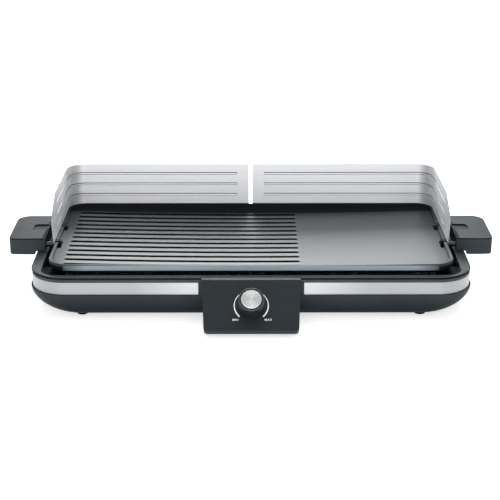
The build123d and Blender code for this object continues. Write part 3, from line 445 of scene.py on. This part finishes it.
def turned_disc(name):
    """Aluminium disc turned in fine rings round the dial's axis."""
    surface = Surface(name, 0.25, metallic=1.0)
    circling = surface.round_dial()
    surface.to_shader(circling, "Tangent")
    surface.to_shader(0.9, "Anisotropic")
    surface.to_shader(quarter_turn, "Anisotropic Rotation")
    texture = surface.node("ShaderNodeTexNoise", noise_dimensions="1D")
    surface.feed(2200, texture.inputs["Scale"])
    surface.feed(3, texture.inputs["Detail"])
    surface.feed(surface.vector_math("LENGTH", circling), texture.inputs["W"])
    rings = texture.outputs["Fac"]
    surface.colour(rings, grey(0.66), grey(0.92))
    surface.roughness(rings, 0.16, 0.3)
    surface.bump(rings, depth=0.00002, strength=0.4)
    return surface.material


def groove_field(surface, across, along):
    """One over the grooved part of the plate, with a soft edge."""
    return surface.product(
        surface.span(across, 0, 1, groove_left - groove_shade_outside, groove_left + groove_shade_inside),
        surface.span(across, 1, 0, groove_right - groove_shade_inside, groove_right + groove_shade_outside),
        surface.span(along, 1, 0, groove_shade_back_start, groove_shade_back_end),
    )


def painted_groove_shade(surface, across, along, up, field):
    """Painted shade: one in the grooves, falling to nothing on the flats between them."""
    rise = surface.product(across, across, pan_curvature)
    depth = surface.math("SUBTRACT", surface.math("ADD", rise, pan_middle_height), up)
    in_groove = surface.span(depth, 0, 1, groove_shade_start_depth, groove_shade_full_depth)
    from_first = surface.math("SUBTRACT", along, first_groove_y)
    from_groove = surface.math("PINGPONG", from_first, groove_pitch / 2)
    shoulder_end = groove_half_width + groove_shoulder
    shoulder = surface.span(from_groove, shoulder_shade, 0, groove_half_width, shoulder_end)
    lip_foot = surface.between(along, lip_foot_start, lip_foot_end, lip_foot_edge)
    beside = surface.product(surface.math("MAXIMUM", shoulder, lip_foot), field)
    return surface.math("MAXIMUM", in_groove, beside)


def coated_plate(name):
    """Dark non-stick coating, with painted shade in and beside the grooves, a painted reflection on
    the front edge and a painted sheen.
    """
    surface = Surface(name, 0.35)
    surface.to_shader((*coat_tint, 1), "Specular Tint")
    across, along, up = surface.places()
    at_front = surface.span(along, 1, 0, front_face_start, front_face_end)
    band = surface.product(
        at_front,
        surface.span(surface.math("ABSOLUTE", across), 1, 0, band_full_reach, band_end_reach),
        surface.between(up, band_low, band_high, band_edge),
    )
    field = groove_field(surface, across, along)
    # Painted shade in and beside the grooves, kept off the front face
    groove_shade = surface.math("SUBTRACT", painted_groove_shade(surface, across, along, up, field), at_front)

    speckle = surface.noise(scale=1500, detail=3)
    coat = surface.ramp(speckle, grey(0.010, coat_tint), grey(0.018, coat_tint), start=0.35, end=0.75)
    coat = surface.mix(groove_shade, coat, (*grey(0.004, coat_tint), 1))
    # Painted reflection: a light band on the front face
    coat = surface.mix(band, coat, (*grey(0.33, coat_tint), 1))
    surface.to_shader(coat, "Base Color")
    # Painted sheen, weaker in the painted groove shade and stronger over the grooved part
    sheen = surface.product(
        surface.span(along, sheen_at_front, sheen_at_peak, sheen_start_y, sheen_peak_y),
        surface.span(along, 1, 0, sheen_peak_y, sheen_end_y),
        surface.span(groove_shade, 1, shade_sheen_share, start=0, end=1),
        surface.span(field, 1, grooved_sheen_share, start=0, end=1),
    )
    surface.to_shader(sheen, "Specular IOR Level")
    surface.roughness(speckle, 0.34, 0.46)
    surface.bump(surface.noise(scale=900, detail=3), depth=0.00003, strength=0.5)
    return surface.material


def soft_rubber(name):
    """Black rubber with a dusty grain."""
    surface = Surface(name, 0.8, specular=0.1)
    surface.colour(surface.noise(scale=200, detail=3), grey(0.004), grey(0.008))
    surface.bump(surface.noise(scale=3000, detail=2), depth=0.00003, strength=0.5)
    return surface.material


def glazed_ceramic(name):
    """Cream ceramic with a pitted glaze."""
    surface = Surface(name, 0.35)
    surface.colour(surface.noise(scale=60, detail=3), (0.72, 0.69, 0.6), (0.82, 0.8, 0.72))
    surface.bump(surface.noise(scale=700, detail=2), depth=0.00003, strength=0.4)
    return surface.material


def print_ink(name):
    """White ink of slightly uneven cover."""
    surface = Surface(name, 0.45)
    surface.colour(surface.noise(scale=900, detail=2), grey(0.78), grey(0.88))
    return surface.material


def pale_floor(name):
    """White floor that gives some light of its own."""
    surface = Surface(name, 0.9, specular=0.1)
    surface.colour(surface.noise(scale=3, detail=2), grey(0.86), grey(0.9))
    surface.to_shader(white, "Emission Color")
    surface.to_shader(0.6, "Emission Strength")
    return surface.material


body_plastic = bowl_moulding("body_plastic")
face_plastic = moulded_plastic("face_plastic", value=0.016, roughness=0.4, specular=0.25).material
control_case = plain_metal("control_case", value=0.6, roughness=0.35)
clip_steel = plain_metal("clip_steel", value=0.45, roughness=0.4)
screw_steel = plain_metal("screw_steel", value=0.4, roughness=0.35, tint=(1.0, 0.99, 0.96))
stud_steel = plain_metal("stud_steel", value=0.05, roughness=0.4, tint=(0.95, 1.0, 1.04))
tray_steel = plain_metal("reflector_sheet", value=0.6, roughness=0.4, tint=(0.95, 1.0, 1.04))
sensor_metal = plain_metal("sensor_metal", value=0.2, roughness=0.45, tint=(1.0, 0.86, 0.76))
print_white = print_ink("print_white")

# Material of every CAD node, given by the first prefix that its name starts with
by_prefix = (
    ("base_shell", body_plastic),
    ("base_frame", ring_moulding("ring_plastic")),
    ("trim_band", trim_sheet("trim_steel")),
    ("foot_", soft_rubber("foot_rubber")),
    ("frame_screws", screw_steel),
    ("reflector_screws", screw_steel),
    ("control_screws", screw_steel),
    ("cover_screws", screw_steel),
    ("heat_reflector", tray_steel),
    ("heating_element", heated_tube("element_tube")),
    ("element_clips", clip_steel),
    ("bulb_clip", clip_steel),
    ("control_housing", face_plastic),
    ("control_cover", body_plastic),
    ("thermostat", control_case),
    ("bush_nut", screw_steel),
    ("knob_spindle", screw_steel),
    ("knob_cap", turned_disc("cap_metal")),
    ("knob", knob_moulding("knob_plastic")),
    ("sensor_bulb", sensor_metal),
    ("terminal_block", glazed_ceramic("terminal_body")),
    ("cord_gland", body_plastic),
    ("grill_plate", coated_plate("plate_coating")),
    ("handle_spacers", stud_steel),
    ("handle_bolts", stud_steel),
    ("handle_", handle_moulding("handle_plastic")),
    ("windshield", shield_sheet("shield_steel")),
)
for node_name, node_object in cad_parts.items():
    material = next(choice for prefix, choice in by_prefix if node_name.startswith(prefix))
    for slot in node_object.material_slots:
        slot.material = material

# Printed scale round the dial: two arcs that widen downwards, and the words MIN and MAX
print_lift = 0.00006
arc_radius = 0.0227
arc_thin = 0.0008
arc_wide = 0.0019
arc_top = radians(45)
arc_bottom = radians(-46.5)
arc_steps = 40
word_size = 0.0046
word_weight = 0.00002
word_drop = 0.0190
words = (("MIN", -0.0211), ("MAX", 0.0223))


def on_face(across, up):
    """Point on the control face, measured from the dial's centre."""
    return dial_centre + Vector((1, 0, 0)) * across + face_up * up + face_normal * print_lift


def add_object(name, data):
    """Object of the scene that shows a mesh, text, light or camera."""
    made = bpy.data.objects.new(name, data)
    bpy.context.collection.objects.link(made)
    return made


def add_mesh(name, points, faces):
    """Object made of points and faces."""
    mesh = bpy.data.meshes.new(name)
    mesh.from_pydata(points, [], faces)
    return add_object(name, mesh)


def printed(obj):
    """Print a piece on the box, where it stays while the dial turns."""
    obj.data.materials.append(print_white)
    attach(obj, "base")


for side, side_name in ((-1, "left"), (1, "right")):
    points = []
    for step in range(arc_steps + 1):
        part = step / arc_steps
        angle = arc_top + (arc_bottom - arc_top) * part
        half_width = (arc_thin + (arc_wide - arc_thin) * part) / 2
        for radius in (arc_radius - half_width, arc_radius + half_width):
            points.append(on_face(side * radius * cos(angle), radius * sin(angle)))
    faces = []
    for step in range(arc_steps):
        corner = 2 * step
        quad = (corner, corner + 1, corner + 3, corner + 2)
        faces.append(quad if side < 0 else quad[::-1])
    printed(add_mesh(f"dial_arc_{side_name}", points, faces))

for word, across in words:
    word_name = f"word_{word.lower()}"
    curve = bpy.data.curves.new(word_name, "FONT")
    curve.body = word
    curve.size = word_size
    curve.align_x = "CENTER"
    curve.align_y = "TOP"
    curve.offset = word_weight
    text = add_object(word_name, curve)
    text.location = on_face(across, -word_drop)
    text.rotation_euler = (pi / 2 - face_tilt, 0, 0)
    printed(text)

# Studio: pale floor, soft lights, and a camera where the photographer stood
floor_reach = 30.0
world_front = -0.8
world_back = 0.6
world_dim = 0.45
world_bright = 0.9
camera_place = (-0.006, body_y - 1.8248, 0.7263)
camera_pitch = radians(20.5)
camera_yaw = radians(0.15)
camera_lens = 96.26
camera_sensor = 36
camera_reach = 50

floor_corners = [
    (side_x * floor_reach, side_y * floor_reach, 0)
    for side_x, side_y in ((-1, -1), (1, -1), (1, 1), (-1, 1))
]
floor = add_mesh("studio_floor", floor_corners, [(0, 1, 2, 3)])
floor.data.materials.append(pale_floor("pale_floor"))


def soft_light(name, place, aim, size, power):
    """Rectangular lamp that looks at a point."""
    light = bpy.data.lights.new(name, "AREA")
    light.shape = "RECTANGLE"
    light.size, light.size_y = size
    light.energy = power
    lamp = add_object(name, light)
    lamp.location = place
    lamp.rotation_euler = (Vector(aim) - Vector(place)).to_track_quat("-Z", "Y").to_euler()


soft_light("front_fill", place=(0, -2.6, 1.0), aim=(0, 0, 0.05), size=(2.6, 1.4), power=34)
soft_light("overhead", place=(0, 0.8, 2.2), aim=(0, 0, 0), size=(2.4, 1.4), power=30)
soft_light("back_strip", place=(0, 1.6, 0.84), aim=(0, 0, 0.07), size=(1.1, 0.5), power=14)

# Surroundings that grow brighter from the front to the back
world = bpy.data.worlds.new("studio_world")
bpy.context.scene.world = world
world.use_nodes = True
world_nodes = world.node_tree.nodes
backdrop = world_nodes["Background"]
backdrop.inputs["Color"].default_value = white
direction = world_nodes.new("ShaderNodeTexCoord")
parts = world_nodes.new("ShaderNodeSeparateXYZ")
brightness = world_nodes.new("ShaderNodeMapRange")
set_range(brightness, world_dim, world_bright, world_front, world_back)
world.node_tree.links.new(direction.outputs["Generated"], parts.inputs["Vector"])
world.node_tree.links.new(parts.outputs["Y"], brightness.inputs["Value"])
world.node_tree.links.new(brightness.outputs["Result"], backdrop.inputs["Strength"])

camera_data = bpy.data.cameras.new("photo_camera")
camera_data.lens = camera_lens
camera_data.sensor_width = camera_sensor
camera_data.clip_end = camera_reach
camera = add_object("photo_camera", camera_data)
camera.location = camera_place
camera.rotation_euler = (pi / 2 - camera_pitch, 0, -camera_yaw)
bpy.context.scene.camera = camera
bpy.context.scene.view_settings.view_transform = "Standard"
